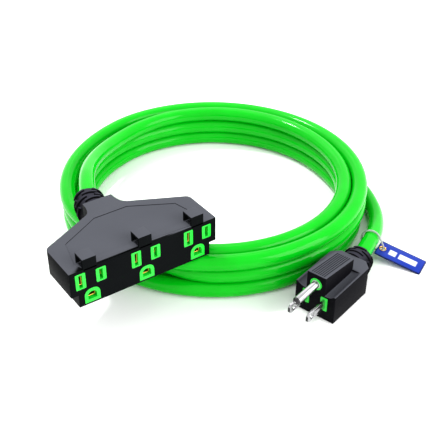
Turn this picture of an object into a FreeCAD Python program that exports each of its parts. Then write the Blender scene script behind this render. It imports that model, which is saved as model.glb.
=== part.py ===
"""Three-outlet extension cord, coiled: a black moulded tap with three grounded outlets, a round green
cord wound into a six-strand coil, a black grounded plug and a small tag looped round the cord.

Row frame: origin under the middle of the whole, on the floor; +X along the row of outlets, the outlets
face -Y, +Z up. Millimetres."""
import FreeCAD, Part
import math
import os
import re

import Sketcher
from FreeCAD import Placement, Rotation, Vector

SIZES = [
    # the cord and its coil
    ("cord_diameter", 10.6), ("coil_radius", 96.8), ("coil_row_step", 9.85), ("coil_rows", 3),
    ("coil_x", 22.0), ("coil_y", 19.7), ("wire_diameter", 3.2), ("wire_spread", 2.05),
    # the tap's moulded housing
    ("tap_x", -81.2), ("tap_y", -61.3), ("tap_rest_gap", 0.4),
    ("tap_width", 96.4), ("tap_height", 25.0), ("tap_side_length", 28.5), ("tap_corner", 2.5),
    ("tap_shoulder_width", 22.0), ("tap_shoulder_y", 47.4), ("tap_neck_width", 19.6), ("tap_neck_y", 57.6),
    ("tap_lower_height", 8.7), ("tap_end_step", 4.5), ("tap_wall", 2.4), ("tap_tail", 8.2),
    ("room_width", 32.0), ("room_waist", 28.0), ("room_neck", 14.0), ("room_front", 9.0),
    ("panel_side", 11.5), ("panel_front", 7.0), ("panel_rear", 7.0), ("panel_depth", 0.7),
    # tie loops on the tap's top, one over each outlet
    ("loop_width", 8.6), ("loop_depth", 9.0), ("loop_height", 6.2), ("loop_wall", 1.5),
    # outlets
    ("outlet_pitch", 35.2), ("slot_below_top", 7.6), ("slot_spacing", 12.7), ("ground_drop", 11.9),
    ("slot_width", 2.2), ("neutral_slot_height", 8.6), ("hot_slot_height", 7.2),
    ("frame_width", 6.3), ("frame_border", 1.0), ("ground_hole", 5.6), ("ground_frame_border", 2.1),
    ("insert_width", 22.0), ("insert_lower_width", 13.0), ("insert_height", 21.6),
    ("insert_roof", 0.5), ("insert_step", 1.0), ("insert_depth", 12.6), ("insert_face", 2.6),
    ("fit_gap", 0.1), ("cover_gap", 0.2),
    ("strip_thickness", 0.8), ("strip_height", 3.4), ("strip_rise", 2.9), ("leaf_thickness", 0.5),
    ("blade_grip", 1.3), ("pin_grip", 4.6), ("contact_width", 4.6), ("contact_length", 8.2),
    ("leaf_height", 6.4), ("cover_thickness", 1.5), ("tab_spread", 9.0), ("tab_width", 2.8),
    ("tab_height", 1.0), ("tab_length", 3.5), ("tab_grip", 1.5),
    ("barrel_length", 6.0), ("barrel_wall", 0.5), ("barrel_solid", 2.2),
    # strain reliefs
    ("relief_ribs", 5), ("rib_share", 0.62), ("rib_depth", 1.9),
    ("tap_relief_length", 22.4), ("tap_relief_bend", 24.0),
    ("tap_relief_diameter", 19.6), ("tap_relief_end", 16.4),
    ("plug_relief_length", 12.5), ("plug_relief_bend", 13.0),
    ("plug_relief_diameter", 20.0), ("plug_relief_end", 16.8),
    # the plug
    ("plug_x", 2.5), ("plug_y", -113.7), ("plug_turn", -74.5),
    ("plug_width", 27.8), ("plug_length", 42.4), ("plug_side_height", 19.7), ("plug_chamfer", 5.0),
    ("plug_height", 30.4), ("ridge_width", 13.0), ("ridge_length", 31.0), ("ridge_rear_height", 26.8),
    ("scoop_length", 30.0), ("scoop_radius", 7.4), ("scoop_depth", 2.2), ("scoop_shift", 1.0),
    ("plug_wall", 2.2), ("plug_roof", 1.1), ("plug_tail", 6.0), ("plug_cord_height", 11.6),
    ("core_depth", 13.0), ("core_width", 20.4), ("core_height", 13.2), ("core_top_width", 9.4),
    ("core_floor", 3.2), ("blade_height", 11.6), ("pin_rise", 11.9),
    ("blade_length", 17.8), ("blade_width", 6.35), ("blade_thickness", 1.52), ("blade_hole", 4.0),
    ("blade_hole_from_tip", 4.9), ("blade_tip_chamfer", 1.6), ("tail_length", 3.0), ("tail_height", 2.6),
    ("pin_length", 21.6), ("pin_diameter", 4.75), ("pin_collar", 0.5), ("plug_frame_border", 1.6),
    ("frame_proud", 0.3),
    # the hang tag and its plastic loop
    ("tag_length", 32.0), ("tag_width", 15.4), ("tag_thickness", 0.8), ("tag_corner", 0.8),
    ("eyelet_from_end", 3.4), ("eyelet_hole", 3.8), ("eyelet_flange", 0.8), ("eyelet_lip", 0.3),
    ("tag_x", 77.6), ("tag_y", -94.9), ("tag_z", 5.6), ("tag_turn", -64.0), ("tag_slope", 10.3),
    ("strand_diameter", 1.1), ("strand_gap", 0.5), ("strand_tip_radius", 2.8),
]
# The cord's routes: from the tap's relief into the coil, and from the plug's relief into the coil.
TAP_LEAD = [(-76.58, 18.05, 43.2), (-68.85, 35.41, 43.2), (-58.9, 53.0, 39.8), (-46.9, 69.3, 35.2),
            (-32.9, 83.6, 31.0), (-17.2, 95.2, 27.8), (0.5, 104.4, 25.8)]
PLUG_LEAD = [(54.93, -97.7, 11.6), (68.1, -90.55, 11.6), (83.0, -81.6, 9.2), (98.3, -67.6, 6.2),
             (109.6, -51.5, 5.3), (118.3, -31.0, 5.3), (123.3, -8.5, 5.3), (124.6, 14.5, 5.3)]

doc = FreeCAD.newDocument("extension_cord")
sheet = doc.addObject("Spreadsheet::Sheet", "Sizes")
for row, (alias, value) in enumerate(SIZES, start=1):
    sheet.set(f"A{row}", alias.replace("_", " "))
    sheet.set(f"B{row}", str(value))
    sheet.setAlias(f"B{row}", alias)
doc.recompute()
NAMES = {alias for alias, value in SIZES}


def cells(formula):
    """The expression with each size's name pointed at its cell."""
    def pointed(word):
        return f"Sizes.{word.group()}" if word.group() in NAMES else word.group()
    return re.sub(r"[a-z]\w*", pointed, formula)


def size(alias):
    return float(getattr(sheet, alias))


def drive(thing, **formulas):
    """Bind properties to the sheet; a double underscore stands for the dot in a property's path."""
    for path, formula in formulas.items():
        thing.setExpression(path.replace("__", "."), cells(formula))
    return thing


GROUPS = {
    "tap": ("tap_x", "tap_y", "(coil_rows - 1) * coil_row_step + cord_diameter + tap_rest_gap", "0"),
    "plug": ("plug_x", "plug_y", "0", "plug_turn"),
    "coil": ("coil_x", "coil_y", "0", "0"),
}
nodes = []


def node(thing, label, group=None):
    """Name a finished sub-part and stand it where its group is."""
    thing.Label = label
    if group:
        x, y, z, turn = GROUPS[group]
        drive(thing, Placement__Base__x=x, Placement__Base__y=y, Placement__Base__z=z,
              Placement__Rotation__Angle=turn)
    nodes.append(thing)
    return thing


# ---------------------------------------------------------------- sketches and features
def body(name):
    return doc.addObject("PartDesign::Body", name)


def sketch_on(owner, plane, lift="0", across="0", up="0"):
    """A sketch on one of the body's own planes, lifted along its normal and shifted within it."""
    sketch = owner.newObject("Sketcher::SketchObject", "Sketch")
    base = next(part for part in owner.Origin.OriginFeatures if part.Role == f"{plane}_Plane")
    sketch.AttachmentSupport = [(base, "")]
    sketch.MapMode = "FlatFace"
    return drive(sketch, AttachmentOffset__Base__x=across, AttachmentOffset__Base__y=up,
                 AttachmentOffset__Base__z=lift)


def fix_point(sketch, geometry, end, x, y, start):
    """Hold one point of the sketch at two formulas, measured from the sketch's origin."""
    for kind, formula, value in (("DistanceX", x, start[0]), ("DistanceY", y, start[1])):
        index = sketch.addConstraint(Sketcher.Constraint(kind, -1, 1, geometry, end, value))
        sketch.setExpression(f"Constraints[{index}]", cells(formula))


def outline(sketch, corners):
    """A closed outline of straight edges through corners given as pairs of formulas."""
    count = len(corners)
    start = [(20 * math.cos(2 * math.pi * i / count) + 30, 20 * math.sin(2 * math.pi * i / count) + 30)
             for i in range(count)]
    first = sketch.GeometryCount
    for i in range(count):
        a, b = start[i], start[(i + 1) % count]
        sketch.addGeometry(Part.LineSegment(Vector(a[0], a[1], 0), Vector(b[0], b[1], 0)), False)
    for i in range(count):
        sketch.addConstraint(Sketcher.Constraint("Coincident", first + i, 2, first + (i + 1) % count, 1))
    for i, (x, y) in enumerate(corners):
        fix_point(sketch, first + i, 1, x, y, start[i])
    return sketch


def rectangle(sketch, x, y, width, height):
    """A rectangle about a middle point."""
    low_x, high_x = f"{x} - ({width}) / 2", f"{x} + ({width}) / 2"
    low_y, high_y = f"{y} - ({height}) / 2", f"{y} + ({height}) / 2"
    return outline(sketch, [(low_x, low_y), (high_x, low_y), (high_x, high_y), (low_x, high_y)])


def circle(sketch, x, y, radius):
    index = sketch.addGeometry(Part.Circle(Vector(30, 30, 0), Vector(0, 0, 1), 3), False)
    fix_point(sketch, index, 3, x, y, (30, 30))
    held = sketch.addConstraint(Sketcher.Constraint("Radius", index, 3))
    sketch.setExpression(f"Constraints[{held}]", cells(radius))
    return sketch


def feature(owner, kind, sketch, **settings):
    """A Pad or Pocket of a sketch; text settings are formulas, the rest are plain values."""
    made = owner.newObject(f"PartDesign::{kind}", kind)
    made.Profile = sketch
    for name, value in settings.items():
        if isinstance(value, str):
            drive(made, **{name: value})
        else:
            setattr(made, name, value)
    return made


def edges_where(shape, test):
    """Names of the edges whose middle and direction pass a test."""
    found = []
    for index, edge in enumerate(shape.Edges, start=1):
        middle = edge.valueAt((edge.FirstParameter + edge.LastParameter) / 2)
        along = edge.tangentAt((edge.FirstParameter + edge.LastParameter) / 2)
        if test(middle, along, edge):
            found.append(f"Edge{index}")
    return found


def soften(owner, kind, radius, test):
    """Fillet or chamfer the tip's edges that pass a test."""
    doc.recompute()
    base = owner.Tip
    made = owner.newObject(f"PartDesign::{kind}", kind)
    made.Base = (base, edges_where(base.Shape, test))
    drive(made, **{"Radius" if kind == "Fillet" else "Size": radius})
    return made


# ---------------------------------------------------------------- plain solids
def box(x, y, z, dx, dy, dz):
    """A box from its lowest corner and its three sizes."""
    made = doc.addObject("Part::Box", "Block")
    return drive(made, Length=dx, Width=dy, Height=dz,
                 Placement__Base__x=x, Placement__Base__y=y, Placement__Base__z=z)


def rod_y(x, y, z, radius, length):
    """A cylinder that runs back along +Y."""
    made = doc.addObject("Part::Cylinder", "Rod")
    made.Placement = Placement(Vector(), Rotation(Vector(1, 0, 0), -90))
    return drive(made, Radius=radius, Height=length,
                 Placement__Base__x=x, Placement__Base__y=y, Placement__Base__z=z)


def join(parts, label):
    made = doc.addObject("Part::MultiFuse", label)
    made.Shapes = parts
    return made


def less(base, tools, label):
    made = doc.addObject("Part::Cut", label)
    made.Base = base
    made.Tool = tools[0] if len(tools) == 1 else join(tools, f"{label}_tools")
    return made


# ---------------------------------------------------------------- outlets and their places in the tap
SIDES = (("left", "-1"), ("middle", "0"), ("right", "1"))
SLOT_Z = "(tap_height - slot_below_top)"
GROUND_Z = f"({SLOT_Z} - ground_drop)"
SLOTS = (("-slot_spacing / 2", "neutral_slot_height"), ("slot_spacing / 2", "hot_slot_height"))


def ground_frame(sketch, x, grow):
    """The flat-bottomed arch of a ground hole, drawn as an eight-sided outline, larger by grow."""
    half, flat = f"(ground_hole / 2 + {grow})", f"(0.42 * ground_hole + {grow})"
    mid, top = f"(0.32 * {half})", f"(0.5 * ground_hole + {grow})"
    right = [(half, f"-{flat}"), (half, mid), (f"0.72 * {half}", f"0.78 * {top}"), (f"0.3 * {half}", top)]
    left = [(f"-({across})", up) for across, up in reversed(right)]
    return outline(sketch, [(f"{x} + {across}", f"{GROUND_Z} + {up}") for across, up in right + left])


def slot_frames(sketch, x, grow):
    """The two upright frames of an outlet's blade slots, larger by grow."""
    for shift, height in SLOTS:
        rectangle(sketch, f"{x} + {shift}", SLOT_Z, f"frame_width + 2 * {grow}",
                  f"{height} + 2 * frame_border + 2 * {grow}")
    return sketch


def stepped_outline(sketch, wide_left, wide_right, thin_left, thin_right, low, step, top):
    """An outline that is broad above a step and narrower below it."""
    return outline(sketch, [(thin_left, low), (thin_right, low), (thin_right, step), (wide_right, step),
                            (wide_right, top), (wide_left, top), (wide_left, step), (thin_left, step)])


INSERT_TOP = "(tap_height - tap_wall + insert_roof)"
INSERT_STEP = "(tap_lower_height + insert_step)"


def insert_outline(sketch, x, grow):
    """An insert is broad behind the blade slots and narrow behind the ground hole."""
    wide, thin = f"(insert_width / 2 + {grow})", f"(insert_lower_width / 2 + {grow})"
    return stepped_outline(sketch, f"{x} - {wide}", f"{x} + {wide}", f"{x} - {thin}", f"{x} + {thin}",
                           f"{INSERT_TOP} - insert_height - {grow}", f"{INSERT_STEP} - {grow}",
                           f"{INSERT_TOP} + {grow}")


def cover_outline(sketch, shrink):
    """The outline of the three inserts' backs taken together, which the strips and the cover lie in."""
    wide = f"(outlet_pitch + insert_width / 2 - {shrink})"
    thin = f"(outlet_pitch + insert_lower_width / 2 - insert_roof - {shrink})"
    return stepped_outline(sketch, f"-{wide}", wide, f"-{thin}", thin,
                           f"{INSERT_TOP} - insert_height + insert_roof + {shrink}",
                           f"{INSERT_STEP} + {shrink}", f"{INSERT_TOP} - {shrink}")


# ---------------------------------------------------------------- tap housing
STRIP_Y = "(tap_wall + insert_depth)"
COVER_BACK = f"({STRIP_Y} + strip_thickness + cover_thickness)"
TAP_CORD_START = "(tap_neck_y - tap_tail)"


def plan(sketch, trim):
    """The housing seen from above: a broad front block that narrows to the neck."""
    half = f"tap_width / 2 - {trim}"
    right = [(half, "0"), (half, f"tap_side_length - 0.3 * {trim}"),
             (f"tap_shoulder_width / 2 + 3", f"tap_shoulder_y - 2 - 0.3 * {trim}"),
             ("tap_shoulder_width / 2", "tap_shoulder_y + 1"), ("tap_neck_width / 2", "tap_neck_y")]
    left = [(f"-({x})", y) for x, y in reversed(right)]
    return outline(sketch, right + left)


def make_tap_housing():
    owner = body("TapHousing")
    feature(owner, "Pad", plan(sketch_on(owner, "XY", "tap_lower_height"), "0"),
            Length="tap_height - tap_lower_height")
    feature(owner, "Pad", plan(sketch_on(owner, "XY"), "tap_end_step"), Length="tap_lower_height")
    soften(owner, "Fillet", "tap_corner",
           lambda middle, along, edge: abs(along.z) > 0.9 and 15 < middle.y < 35)
    # the sunken panel on top
    panel = sketch_on(owner, "XY", "tap_height")
    half, back = "(tap_width / 2 - panel_side)", "(tap_side_length - 2)"
    outline(panel, [(f"-{half}", "panel_front"), (half, "panel_front"), (half, back),
                    ("tap_shoulder_width / 2", "tap_shoulder_y - panel_rear"),
                    ("-tap_shoulder_width / 2", "tap_shoulder_y - panel_rear"), (f"-{half}", back)])
    feature(owner, "Pocket", panel, Length="panel_depth")
    # tie loops
    for name, side in SIDES:
        base = sketch_on(owner, "XY", "tap_height - 1")
        rectangle(base, f"{side} * outlet_pitch", "loop_depth / 2", "loop_width", "loop_depth")
        feature(owner, "Pad", base, Length="loop_height + 1")
        window = sketch_on(owner, "YZ", f"{side} * outlet_pitch + loop_width / 2 + 1")
        outline(window, [("loop_wall", "tap_height"), ("loop_depth - loop_wall", "tap_height"),
                         ("loop_depth - loop_wall", "tap_height + loop_height - loop_wall"),
                         ("loop_wall", "tap_height + loop_height - loop_wall")])
        feature(owner, "Pocket", window, Length="loop_width + 2")
    # windows in the front wall for the green frames, then the inserts' recesses behind them
    for name, side in SIDES:
        x = f"{side} * outlet_pitch"
        feature(owner, "Pocket", slot_frames(sketch_on(owner, "XZ"), x, "fit_gap"), Length="tap_wall + 1")
        feature(owner, "Pocket", ground_frame(sketch_on(owner, "XZ"), x, "(ground_frame_border + fit_gap)"),
                Length="tap_wall + 1")
        feature(owner, "Pocket", insert_outline(sketch_on(owner, "XZ", "-tap_wall"), x, "fit_gap"),
                Length="insert_depth + strip_thickness")
    # the long recess of the contact strips and the cover, and the wiring room behind it
    strips = cover_outline(sketch_on(owner, "XZ", "-(tap_wall + insert_depth - fit_gap)"), "0")
    feature(owner, "Pocket", strips, Length="strip_thickness + cover_thickness + fit_gap + cover_gap")
    room = sketch_on(owner, "XY", "tap_height - tap_wall")
    waist = f"{COVER_BACK} + room_front"
    outline(room, [("-room_width / 2", COVER_BACK), ("room_width / 2", COVER_BACK),
                   ("room_waist / 2", waist), ("room_neck / 2", "tap_shoulder_y - 2"),
                   ("-room_neck / 2", "tap_shoulder_y - 2"), ("-room_waist / 2", waist)])
    feature(owner, "Pocket", room, Length="tap_height - 2 * tap_wall")
    # the bore that the cord comes in by
    bore = sketch_on(owner, "XZ", "-tap_neck_y")
    circle(bore, "0", "tap_height / 2", "cord_diameter / 2 + fit_gap")
    feature(owner, "Pocket", bore, Length="tap_neck_y - tap_shoulder_y + 3", Reversed=True)
    return node(owner, "tap_housing", "tap")


make_tap_housing()


# ---------------------------------------------------------------- outlet inserts, contacts and strips
def make_insert(name, side):
    """A green insert: its frames stand through the front wall, its pockets hold the contacts."""
    x = f"{side} * outlet_pitch"
    owner = body(f"Insert_{name}")
    front = "-(tap_wall + fit_gap)"
    feature(owner, "Pad", insert_outline(sketch_on(owner, "XZ", front), x, "0"),
            Length="insert_depth - fit_gap", Reversed=True)
    feature(owner, "Pad", slot_frames(sketch_on(owner, "XZ"), x, "0"), Length="tap_wall + 1", Reversed=True)
    feature(owner, "Pad", ground_frame(sketch_on(owner, "XZ"), x, "ground_frame_border"),
            Length="tap_wall + 1", Reversed=True)
    for shift, height in SLOTS:
        slot = sketch_on(owner, "XZ")
        rectangle(slot, f"{x} + {shift}", SLOT_Z, "slot_width", height)
        feature(owner, "Pocket", slot, Length="insert_depth")
        pocket = sketch_on(owner, "XZ", "-(tap_wall + insert_face)")
        rectangle(pocket, f"{x} + {shift}", SLOT_Z, "contact_width + 0.4", "neutral_slot_height + 1.2")
        feature(owner, "Pocket", pocket, Length="insert_depth")
    feature(owner, "Pocket", ground_frame(sketch_on(owner, "XZ"), x, "0"), Length="insert_depth")
    pocket = sketch_on(owner, "XZ", "-(tap_wall + insert_face)")
    rectangle(pocket, x, GROUND_Z, "pin_grip + 2 * leaf_thickness + 0.6", "ground_hole")
    feature(owner, "Pocket", pocket, Length="insert_depth")
    return node(owner, f"outlet_insert_{name}", "tap")


# each pole: where its contacts, its strip and its strip's tab stand
STRIPS = {"neutral": f"({SLOT_Z} + strip_rise)", "hot": f"({SLOT_Z} - strip_rise)", "ground": GROUND_Z}
POLE_X = {"neutral": "(-slot_spacing / 2)", "hot": "(slot_spacing / 2)", "ground": "0"}
TAB_X = {"neutral": "(-tab_spread)", "hot": "tab_spread", "ground": "0"}


def make_contact(name, side, pole):
    """A spring contact: two leaves that grip the blade or pin, on a foot riveted to its strip."""
    x = f"({side} * outlet_pitch + {POLE_X[pole]})"
    ground = pole == "ground"
    grip = "pin_grip" if ground else "blade_grip"
    z, tall = (GROUND_Z, "(ground_hole - 1)") if ground else (SLOT_Z, "leaf_height")
    foot_y = f"({STRIP_Y} - leaf_thickness)"
    leaves = [box(left, f"{foot_y} - contact_length", f"{z} - {tall} / 2",
                  "leaf_thickness", "contact_length", tall)
              for left in (f"{x} - {grip} / 2 - leaf_thickness", f"{x} + {grip} / 2")]
    if ground:
        foot = box(f"{x} - {grip} / 2 - leaf_thickness", foot_y, f"{z} - {tall} / 2",
                   f"{grip} + 2 * leaf_thickness", "leaf_thickness", tall)
    else:
        foot = box(f"{x} - contact_width / 2", foot_y, f"{STRIPS[pole]} - strip_height / 2",
                   "contact_width", "leaf_thickness", "strip_height")
    return node(join(leaves + [foot], f"contact_{pole}_{name}"), f"contact_{pole}_{name}", "tap")


def make_strip(pole):
    """One brass strip per pole joins its three contacts, with a tab for its wire."""
    strip = box(f"-outlet_pitch + {POLE_X[pole]} - contact_width / 2", STRIP_Y,
                f"{STRIPS[pole]} - strip_height / 2",
                "2 * outlet_pitch + contact_width", "strip_thickness", "strip_height")
    tab = box(f"{TAB_X[pole]} - tab_width / 2", STRIP_Y, f"{STRIPS[pole]} - tab_height / 2",
              "tab_width", "strip_thickness + cover_thickness + tab_length", "tab_height")
    return node(join([strip, tab], f"strip_{pole}"), f"contact_strip_{pole}", "tap")


for name, side in SIDES:
    make_insert(name, side)
    for pole in STRIPS:
        make_contact(name, side, pole)
for pole in STRIPS:
    make_strip(pole)


def make_core_cover():
    """The cover that closes the inserts from behind, with a hole for each strip's tab."""
    owner = body("CoreCover")
    front = f"-({STRIP_Y} + strip_thickness)"
    feature(owner, "Pad", cover_outline(sketch_on(owner, "XZ", front), "cover_gap"),
            Length="cover_thickness", Reversed=True)
    holes = sketch_on(owner, "XZ", front)
    for pole, strip_z in STRIPS.items():
        rectangle(holes, TAB_X[pole], strip_z, "tab_width + 2 * cover_gap", "tab_height + 2 * cover_gap")
    feature(owner, "Pocket", holes, Length="cover_thickness + 1")
    return node(owner, "core_cover", "tap")


make_core_cover()


# ---------------------------------------------------------------- swept round pieces
def route(points, shrink=0.45):
    """Straight runs joined by tangent arcs, each as large as its two runs allow; also the radii."""
    spots = [Vector(*point) for point in points]
    edges, radii, here = [], [], spots[0]
    for before, corner, after in zip(spots, spots[1:], spots[2:]):
        into, out = (corner - before).normalize(), (after - corner).normalize()
        reach = shrink * min((corner - before).Length, (after - corner).Length)
        turn = into.getAngle(out)
        radius = reach / math.tan(turn / 2)
        radii.append(round(radius, 1))
        start, end = corner - into * reach, corner + out * reach
        inward = (out - into).normalize()
        middle = corner + inward * (radius / math.cos(turn / 2) - radius)
        edges += [Part.LineSegment(here, start).toShape(), Part.Arc(start, middle, end).toShape()]
        here = end
    edges.append(Part.LineSegment(here, spots[-1]).toShape())
    return Part.Wire(edges), radii


def swept(path, start, along, radius):
    """A round tube whose section is carried along a wire."""
    ring = Part.Wire(Part.makeCircle(radius, start, along))
    return path.makePipeShell([ring], True, False)


def check_tube(label, shape, path, radius, radii):
    wanted = math.pi * radius ** 2 * path.Length
    print(f"{label}: length {path.Length:.1f}, radii {radii}, volume over section x length "
          f"{shape.Volume / wanted:.4f}")


def make_lead(label, points):
    path, radii = route(points)
    start, along = Vector(*points[0]), Vector(*points[1]) - Vector(*points[0])
    radius = size("cord_diameter") / 2
    shape = swept(path, start, along, radius)
    check_tube(label, shape, path, radius, radii)
    made = doc.addObject("Part::Feature", label)
    made.Shape = shape
    return node(made, label)


make_lead("cord_to_tap", TAP_LEAD)
make_lead("cord_to_plug", PLUG_LEAD)


def make_coil():
    """The coil's outer shape: a ring two strands wide and three high, round where the strands are."""
    owner = body("CordCoil")
    ring = sketch_on(owner, "XZ")
    tall = "((coil_rows - 1) * coil_row_step + cord_diameter)"
    rectangle(ring, "coil_radius", f"{tall} / 2", "2 * cord_diameter", tall)
    turn = owner.newObject("PartDesign::Revolution", "Revolution")
    turn.Profile = ring
    turn.ReferenceAxis = (ring, ["V_Axis"])
    turn.Angle = 360
    soften(owner, "Fillet", "cord_diameter * 0.45", lambda middle, along, edge: True)
    return node(owner, "cord_coil", "coil")


make_coil()


# ---------------------------------------------------------------- crimps, wires and sleeves
def make_barrel(label, group, x, y, z, tail):
    """A crimped barrel: its solid front is pressed round a tail, its open back takes a wire."""
    outer = rod_y(x, y, z, "wire_diameter / 2 + barrel_wall", "barrel_length")
    inner = rod_y(x, f"{y} + barrel_solid", z, "wire_diameter / 2", "barrel_length")
    return node(less(outer, [inner, tail], label), label, group)


def wire_piece(label, group, points):
    path, radii = route(points)
    start, along = Vector(*points[0]), Vector(*points[1]) - Vector(*points[0])
    made = doc.addObject("Part::Feature", label)
    made.Shape = swept(path, start, along, size("wire_diameter") / 2)
    return node(made, label, group)


# each sleeve: its bend's radius and angle, where it starts, and the side that it leans to along X
SLEEVES = {
    "tap": ("(tap_relief_length / (tap_relief_bend * pi / 180))", "tap_relief_bend", "tap_neck_y",
            "tap_height / 2", 1),
    "plug": ("(plug_relief_length / (plug_relief_bend * pi / 180))", "plug_relief_bend", "plug_length",
             "plug_cord_height", -1),
}


def bend_sector(group, radius, start, span, label="Sector"):
    """A round bar along a sleeve's bend, from one angle over a span, both in degrees."""
    bend_radius, bend, y, z, hand = SLEEVES[group]
    turn = start if hand < 0 else f"180 - {start} - {span}"
    made = doc.addObject("Part::Torus", label)
    return drive(made, Radius1=bend_radius, Radius2=radius, Angle3=span,
                 Placement__Base__x=f"{hand} * {bend_radius}", Placement__Base__y=y, Placement__Base__z=z,
                 Placement__Rotation__Angle=turn)


def make_relief(group):
    """A ribbed sleeve that leans the way the cord pulls it: a core with rings that shrink along it."""
    bend = SLEEVES[group][1]
    label, pitch = f"{group}_strain_relief", f"({bend} / relief_ribs)"
    first, last = f"{group}_relief_diameter", f"{group}_relief_end"
    rings = [bend_sector(group, f"{last} / 2 - rib_depth", "0", bend)]
    for i in range(int(size("relief_ribs"))):
        rings.append(bend_sector(group, f"({first} - ({first} - {last}) * {i} / (relief_ribs - 1)) / 2",
                                 f"{i} * {pitch}", f"rib_share * {pitch}"))
    bore = bend_sector(group, "cord_diameter / 2", "0", bend)
    return node(less(join(rings, f"{group}_rings"), [bore], label), label, group)


def make_tail(group, start):
    """The end of the jacket, held in the housing and in its sleeve."""
    bend, y, z = SLEEVES[group][1:4]
    straight = rod_y("0", start, z, "cord_diameter / 2", f"{y} - {start}")
    bent = bend_sector(group, "cord_diameter / 2", "0", bend)
    return node(join([straight, bent], f"cord_in_{group}"), f"cord_in_{group}", group)


# ---------------------------------------------------------------- wiring inside the tap
def make_tap_wiring():
    """Three barrels on the strips' tabs, and three insulated wires from the jacket to them."""
    core = size("wire_spread")
    cord_z, cord_start = size("tap_height") / 2, size("tap_neck_y") - size("tap_tail")
    tab_end = sum(size(alias) for alias in ("tap_wall", "insert_depth", "strip_thickness",
                                            "cover_thickness", "tab_length"))
    wire_start = tab_end - size("tab_grip") + size("barrel_solid") + size("fit_gap")
    slot_z = size("tap_height") - size("slot_below_top")
    spots = {"neutral": (-size("tab_spread"), slot_z + size("strip_rise"), -core, core * 0.6),
             "hot": (size("tab_spread"), slot_z - size("strip_rise"), core, core * 0.6),
             "ground": (0, slot_z - size("ground_drop"), 0, -core)}
    for pole, (tab_x, tab_z, core_x, core_z) in spots.items():
        x, z = TAB_X[pole], STRIPS[pole]
        y = f"({COVER_BACK} + tab_length - tab_grip)"
        tail = box(f"{x} - tab_width / 2", f"{y} - 1", f"{z} - tab_height / 2",
                   "tab_width", "tab_grip + 1", "tab_height")
        make_barrel(f"tap_crimp_{pole}", "tap", x, y, z, tail)
        wire_piece(f"tap_wire_{pole}", "tap", [
            (tab_x, wire_start, tab_z), (tab_x, wire_start + 9, tab_z),
            (core_x, cord_start - 6, cord_z + core_z), (core_x, cord_start, cord_z + core_z)])


make_tap_wiring()
make_tail("tap", TAP_CORD_START)
make_relief("tap")


# ---------------------------------------------------------------- plug
BLADES = (("neutral", "-1"), ("hot", "1"))
PIN_Z = "(blade_height + pin_rise)"
CORE_END = "(plug_wall + core_depth)"
CORE_STEP = "(core_floor + core_height)"
CORE_TOP = f"(plug_height - (plug_height - ridge_rear_height) * {CORE_END} / ridge_length - plug_roof)"
PLUG_CORD_START = "(plug_length - plug_tail)"


def plug_windows(sketch, grow):
    """The windows of the plug's face: one round each blade and a ring round the pin."""
    for pole, side in BLADES:
        rectangle(sketch, f"{side} * slot_spacing / 2", "blade_height",
                  f"blade_thickness + 2 * plug_frame_border + 2 * {grow}",
                  f"blade_width + 2 * plug_frame_border + 2 * {grow}")
    return circle(sketch, "0", PIN_Z, f"pin_diameter / 2 + plug_frame_border + {grow}")


def core_outline(sketch, grow):
    """The core is broad at the blades and narrow under the ridge."""
    wide, thin = f"(core_width / 2 + {grow})", f"(core_top_width / 2 + {grow})"
    low, step, top = f"(core_floor - {grow})", f"({CORE_STEP} + {grow})", f"({CORE_TOP} + {grow})"
    return outline(sketch, [(f"-{wide}", low), (wide, low), (wide, step), (thin, step), (thin, top),
                            (f"-{thin}", top), (f"-{thin}", step), (f"-{wide}", step)])


def make_plug_housing():
    """A block with chamfered rear corners, a scooped shoulder each side and a tapering ridge on top."""
    owner = body("PlugHousing")
    base = sketch_on(owner, "XZ")
    rectangle(base, "0", "plug_side_height / 2", "plug_width", "plug_side_height")
    feature(owner, "Pad", base, Length="plug_length", Reversed=True)
    soften(owner, "Chamfer", "plug_chamfer",
           lambda middle, along, edge: abs(along.z) > 0.9 and middle.y > size("plug_length") - 1)
    scoops = sketch_on(owner, "XZ")
    for side in ("-1", "1"):
        circle(scoops, f"{side} * (ridge_width / 2 + scoop_shift)",
               "plug_side_height + scoop_radius - scoop_depth", "scoop_radius")
    feature(owner, "Pocket", scoops, Length="scoop_length")
    ridge = sketch_on(owner, "YZ", "-ridge_width / 2")
    outline(ridge, [("0", "core_floor"), ("0", "plug_height"), ("ridge_length", "ridge_rear_height"),
                    ("ridge_length + 1", "core_floor")])
    feature(owner, "Pad", ridge, Length="ridge_width")
    feature(owner, "Pocket", plug_windows(sketch_on(owner, "XZ"), "fit_gap"), Length="plug_wall + 1")
    feature(owner, "Pocket", core_outline(sketch_on(owner, "XZ", "-plug_wall"), "fit_gap"),
            Length="core_depth")
    # the room behind the core: broad and low to the jacket's end, higher in the middle and under the ridge
    low = sketch_on(owner, "XZ", f"-{CORE_END}")
    rectangle(low, "0", f"(core_floor + {CORE_STEP}) / 2", "core_width", "core_height")
    feature(owner, "Pocket", low, Length=f"{PLUG_CORD_START} - {CORE_END}")
    high = sketch_on(owner, "XZ", f"-{CORE_END}")
    rectangle(high, "0", "(core_floor + ridge_rear_height - plug_roof) / 2", "core_top_width",
              "ridge_rear_height - plug_roof - core_floor")
    feature(owner, "Pocket", high, Length=f"ridge_length - 1.5 - {CORE_END}")
    middle = sketch_on(owner, "XZ", f"-{CORE_END}")
    rectangle(middle, "0", "(core_floor + plug_side_height - plug_roof) / 2", "core_top_width",
              "plug_side_height - plug_roof - core_floor")
    feature(owner, "Pocket", middle, Length=f"{PLUG_CORD_START} - {CORE_END}")
    bore = sketch_on(owner, "XZ", f"-({PLUG_CORD_START} - 1)")
    circle(bore, "0", "plug_cord_height", "cord_diameter / 2")
    feature(owner, "Pocket", bore, Length="plug_tail + 2")
    return node(owner, "plug_housing", "plug")


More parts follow.
